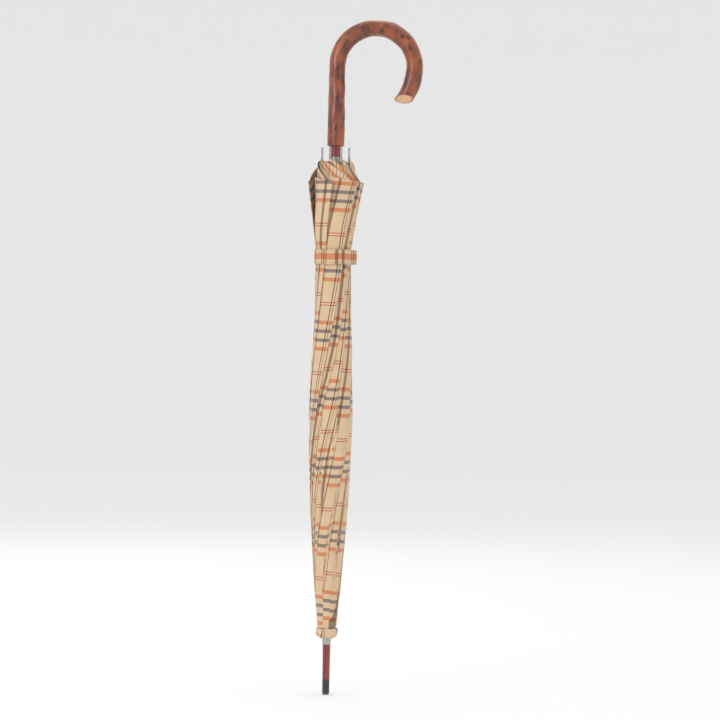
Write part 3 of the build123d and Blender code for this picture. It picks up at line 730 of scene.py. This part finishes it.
def plaid_cloth(name):
    """Fine twill in a plaid: grey and rust bands across, grey and charcoal lines along, on a beige ground."""
    paint, cloth, shader = finish(name, Sheen_Weight=0.25, Sheen_Roughness=0.5)
    skin = cloth.add("ShaderNodeUVMap", uv_map="cloth")
    u = cloth.add("ShaderNodeSeparateXYZ", {0: skin}, out="X")
    v = cloth.add("ShaderNodeSeparateXYZ", {0: skin}, out="Y")
    soft = 0.0003
    tall, wide = 0.092, 0.044                  # the pattern repeats after these, along and across the cloth

    def band(coordinate, repeat, centre, width):
        away = abs((coordinate - centre + repeat / 2) % repeat - repeat / 2)
        return 1.0 - away.smooth(width / 2 - soft, width / 2 + soft)

    place = cloth.add("ShaderNodeTexCoord", out="Object")
    mottle = cloth.add("ShaderNodeTexNoise", {"Vector": place, "Scale": 60.0, "Detail": 4.0})
    threads = cloth.add("ShaderNodeTexNoise", {"Vector": cloth.add(
        "ShaderNodeMapping", {"Vector": skin, "Scale": (3200.0, 160.0, 1.0)}), "Scale": 1.0, "Detail": 2.0})
    colour = mottle.mix(rgb(206, 174, 136), rgb(224, 196, 160))
    colour = (threads * 0.12).mix(colour, rgb(176, 140, 104))
    rust = band(v, tall, 0.012, 0.0052) + band(v, tall, 0.047, 0.0052)
    grey = band(v, tall, 0.0235, 0.0046) + band(v, tall, 0.0355, 0.0046)
    wine = band(v, tall, 0.070, 0.0012) + band(v, tall, 0.0735, 0.0012)
    colour = (rust * 0.88).mix(colour, rgb(203, 122, 72))
    colour = (grey * 0.86).mix(colour, rgb(112, 100, 98))
    colour = (wine * 0.9).mix(colour, rgb(186, 44, 52))
    broad = band(u, wide, 0.004, 0.0042)
    fine = band(u, wide, 0.023, 0.0013) + band(u, wide, 0.0265, 0.0008)
    colour = (broad * 0.82).mix(colour, rgb(138, 124, 122), "MULTIPLY")
    colour = (fine * 0.9).mix(colour, rgb(78, 66, 70), "MULTIPLY")
    cloth.plug(shader.inputs["Base Color"], colour)
    cloth.plug(shader.inputs["Roughness"], 0.62 + mottle * 0.16)
    twill = ((u + v) * TWILL).sine()
    height = twill * 0.3 + threads * 0.4 + mottle
    cloth.plug(shader.inputs["Normal"], height.bump(0.18, 0.0004))
    return paint


canopy_plaid = plaid_cloth("canopy_plaid")
for gore in range(GORES):
    points, across, reach = gore_cloth(gore)
    shift = np.array(PLAID_SHIFTS[gore])
    pattern = np.stack([reach * np.sin(across), reach * np.cos(across)], axis=-1) + shift
    weights = spread_weights(gore, points, across, reach)
    cloth_piece = grid_mesh(f"gore_cloth_{gore + 1}", points, pattern)
    cloth_piece.data.materials.append(canopy_plaid)
    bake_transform(cloth_piece, f"rib_{gore + 1}", f"gore_{gore + 1}", start=points[0, 0], end=points[0, -1])
    cloth_piece.data.attributes["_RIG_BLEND"].data.foreach_set("value", weights.astype(np.float32).ravel())
    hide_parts(f"gore_{gore + 1}")

# Strap. Two layers of the same cloth, sewn together along both edges. It is sewn to a gore by its base, goes once
# round the roll, and closes on itself with a touch fastener, so that its free end stands out as a tab.
STRAP_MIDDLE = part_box("strap_base")[0].z / 2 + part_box("strap_base")[1].z / 2
STRAP_HALF_HEIGHT = 0.0098
STRAP_HALF_THICKNESS = 0.00055
STRAP_TAIL = 0.017
STRAP_STITCH = 0.0079        # from the middle to each line of stitches
STRAP_LINE = (               # azimuth and radius of the strap's middle
    (-62.0, 0.02470), (-23.0, 0.02475), (93.5, 0.02480), (150.0, 0.02500), (199.0, 0.02555), (262.0, 0.02560),
    (290.0, 0.02605), (316.0, 0.02640),
)
SEWN_END = -23.0             # azimuth where the sewn arc ends
STRAIGHT = 58.25             # turn that would lay the first arc on in line with the sewn one, degrees
STRAP_DROOP = joints["strap_side_unwrap"]["range_deg"][1] - STRAIGHT     # how far the loose strap hangs down
STRAP_PIECES = (             # name, azimuths of its ends, turn that it makes before its own bend, moving node
    ("strap_first", -60.0, 93.5, 0.0, "strap_side"), ("strap_second", 93.5, 199.0, 58.25, "strap_back"),
    ("strap_third", 199.0, 316.0, 52.75, "strap_end"),
)

strap_plaid, cloth, shader = finish("strap_plaid", Sheen_Weight=0.25, Sheen_Roughness=0.5)
skin = cloth.add("ShaderNodeUVMap", uv_map="cloth")
u = cloth.add("ShaderNodeSeparateXYZ", {0: skin}, out="X")
v = cloth.add("ShaderNodeSeparateXYZ", {0: skin}, out="Y")
place = cloth.add("ShaderNodeTexCoord", out="Object")
mottle = cloth.add("ShaderNodeTexNoise", {"Vector": place, "Scale": 90.0, "Detail": 4.0})
threads = cloth.add("ShaderNodeTexNoise", {"Vector": cloth.add(
    "ShaderNodeMapping", {"Vector": skin, "Scale": (240.0, 3200.0, 1.0)}), "Scale": 1.0, "Detail": 2.0})
colour = mottle.mix(rgb(206, 174, 136), rgb(224, 196, 160))
colour = (threads * 0.12).mix(colour, rgb(176, 140, 104))
rust = 1.0 - abs(v - 0.0006).smooth(0.0038, 0.0046)
colour = (rust * 0.88).mix(colour, rgb(203, 122, 72))
crossing = abs((u + 0.006) % 0.044 - 0.022)
dark = (1.0 - crossing.smooth(0.0006, 0.0010)) + (1.0 - abs(crossing - 0.0034).smooth(0.0003, 0.0007))
wide = 1.0 - abs(crossing - 0.0175).smooth(0.0018, 0.0024)
colour = (dark * 0.85).mix(colour, rgb(78, 66, 70), "MULTIPLY")
colour = (wide * 0.80).mix(colour, rgb(138, 124, 122), "MULTIPLY")
stitch_line = 1.0 - abs(abs(v) - STRAP_STITCH).smooth(0.00010, 0.00030)
stitch_line = stitch_line * ((u % 0.0024) < 0.0016)
colour = (stitch_line * 0.75).mix(colour, rgb(96, 58, 40))
cloth.plug(shader.inputs["Base Color"], colour)
cloth.plug(shader.inputs["Roughness"], 0.62 + mottle * 0.16)
twill = ((u + v) * TWILL).sine()
height = twill * 0.25 + threads * 0.4 + mottle - stitch_line * 1.2
cloth.plug(shader.inputs["Normal"], height.bump(0.25, 0.0004))

for strap_name, start, end, held_back, strap_node in STRAP_PIECES:
    hinge = joints[f"{strap_node}_unwrap"]
    steps = round((end - start) / 1.5)
    stations = []
    for k in range(steps + 1):
        azimuth = start + (end - start) * k / steps
        radius = float(curve_through(STRAP_LINE, azimuth))
        turn = math.radians(azimuth)
        out = Vector((math.cos(turn), math.sin(turn), 0))
        bend = max(0.0, azimuth - (SEWN_END if strap_node == "strap_side" else start)) / 2
        if strap_node == "strap_side":
            bend += STRAP_DROOP * ease(azimuth, SEWN_END, 20.0)
        stations.append((out * radius, out, azimuth, held_back + bend))
    if strap_node == "strap_end":
        foot, out, azimuth, bend = stations[-1]
        ahead = Vector((-out.y, out.x, 0))
        hinge_place = Vector(hinge["pos_m"])
        for k in range(1, 13):
            place = foot + ahead * STRAP_TAIL * k / 12
            reach = Vector((place.x - hinge_place.x, place.y - hinge_place.y, 0))
            start_turn = math.radians(start)
            tangent = Vector((-math.sin(start_turn), math.cos(start_turn), 0))
            stations.append((place, out, azimuth, held_back + math.degrees(tangent.angle(reach))))
    profile = []
    for k in range(24):
        turn = 2 * math.pi * (k + 0.5) / 24
        tall = math.copysign(abs(math.sin(turn)) ** 0.35, math.sin(turn))
        deep = math.copysign(abs(math.cos(turn)) ** 0.35, math.cos(turn))
        profile.append((deep, tall))
    strap_vertices, strap_uv, weights = [], [], []
    length = 0.0
    for number, (place, out, azimuth, bend) in enumerate(stations):
        length += (place - stations[number - 1][0]).length if number else 0.0
        worn_end = strap_node == "strap_end" and number == len(stations) - 1
        for deep, tall in profile:
            puff = 1.0 - 0.30 * math.exp(-(((abs(tall) * STRAP_HALF_HEIGHT - STRAP_STITCH) / 0.0007) ** 2))
            thick = STRAP_HALF_THICKNESS * puff * (0.5 if worn_end else 1.0)
            wave = 0.00025 * math.sin(azimuth / 7) * tall + 0.0002 * math.sin(length * 260) * tall**2
            high = STRAP_MIDDLE + STRAP_HALF_HEIGHT * tall + 0.0003 * math.sin(azimuth / 11)
            spot = place + out * (deep * thick + wave)
            strap_vertices.append((spot.x, spot.y, high))
            strap_uv.append((length + math.radians(start) * 0.0247, STRAP_HALF_HEIGHT * tall))
            weights.append(bend / hinge["range_deg"][1])
    sides = len(profile)
    faces = [
        (low * sides + k, low * sides + (k + 1) % sides, (low + 1) * sides + (k + 1) % sides, (low + 1) * sides + k)
        for low in range(len(stations) - 1) for k in range(sides)
    ]
    faces += [tuple(range(sides))[::-1], tuple(range((len(stations) - 1) * sides, len(stations) * sides))]
    strap_mesh = bpy.data.meshes.new(strap_name)
    strap_mesh.from_pydata(strap_vertices, [], faces)
    layer = strap_mesh.uv_layers.new(name="cloth")
    for loop in strap_mesh.loops:
        layer.data[loop.index].uv = strap_uv[loop.vertex_index]
    strap_mesh.shade_smooth()
    strap_mesh.set_sharp_from_angle(angle=math.radians(60))
    strap_mesh.materials.append(strap_plaid)
    strap_piece = bpy.data.objects.new(strap_name, strap_mesh)
    bpy.context.collection.objects.link(strap_piece)
    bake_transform(strap_piece, hinge["parent"], strap_node, start=stations[0][0], end=stations[-1][0])
    strap_mesh.attributes["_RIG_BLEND"].data.foreach_set("value", weights)
    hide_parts(*(("strap_base", "strap_side") if strap_node == "strap_side" else (strap_node,)))

# Touch fastener. A patch of hooks on the strap's end and a patch of loops on its base.
tape, cloth, shader = finish("touch_tape", Sheen_Weight=0.6)
place = cloth.add("ShaderNodeTexCoord", out="Object")
fuzz = cloth.add("ShaderNodeTexNoise", {"Vector": place, "Scale": 1500.0, "Detail": 4.0})
rows = cloth.add("ShaderNodeTexVoronoi", {"Vector": place, "Scale": 1100.0}, out="Distance")
cloth.plug(shader.inputs["Base Color"], fuzz.mix(rgb(132, 104, 76), rgb(190, 160, 126)))
cloth.plug(shader.inputs["Roughness"], 0.8 + fuzz * 0.15)
cloth.plug(shader.inputs["Normal"], (rows + fuzz).bump(0.6, 0.0003))
paint_node(tape, "strap_loop_patch", "strap_hook_patch")

# Rosette. A small disc of the canopy's cloth, gathered on the collar and turned up into a cup round the canopy's
# point, with a hem round its rim.
ROSETTE_LINE = (             # share of the way, height, radius
    (0.0, 0.0757, 0.0070), (0.12, 0.0757, 0.0088), (0.28, 0.0768, 0.0112), (0.45, 0.0790, 0.0132),
    (0.60, 0.0820, 0.0141), (0.78, 0.0855, 0.0142), (0.90, 0.0880, 0.0139), (0.94, 0.0884, 0.0136),
    (1.0, 0.0868, 0.0131),
)
ROSETTE_ROWS = 40
ROSETTE_SIDES = 240
ways = np.linspace(0, 1, ROSETTE_ROWS)[:, None]
turns = np.linspace(0, 2 * math.pi, ROSETTE_SIDES + 1)[None, :]
heights = curve_through([(way, z) for way, z, r in ROSETTE_LINE], ways)
radii = curve_through([(way, r) for way, z, r in ROSETTE_LINE], ways)
gathers = 0.00055 * np.sin(19 * turns + 0.8 * np.sin(3 * turns)) + 0.0003 * np.sin(31 * turns + 1.1)
gathers = gathers * (1 - ease(ways, 0.25, 0.9)) * ease(ways, 0, 0.1)
radii = radii + gathers + 0.00035 * np.sin(5 * turns) * ways
heights = heights + 0.0005 * np.sin(7 * turns + 0.5) * ways**3 * (ways < 0.96)
rosette_points = np.stack([radii * np.cos(turns), radii * np.sin(turns), heights + 0 * turns], axis=-1)
spokes = 0.021 * (0.3 + 0.7 * ways)
rosette_uv = np.stack([spokes * np.cos(turns) + 0.03, spokes * np.sin(turns) + 0.075], axis=-1)
rosette_cloth = grid_mesh("rosette_cloth", rosette_points, rosette_uv)
build = bmesh.new()
build.from_mesh(rosette_cloth.data)
bmesh.ops.remove_doubles(build, verts=build.verts, dist=1e-7)
build.to_mesh(rosette_cloth.data)
build.free()
rosette_cloth.data.materials.append(canopy_plaid)
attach(rosette_cloth, "root")
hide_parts("rosette")

low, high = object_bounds()
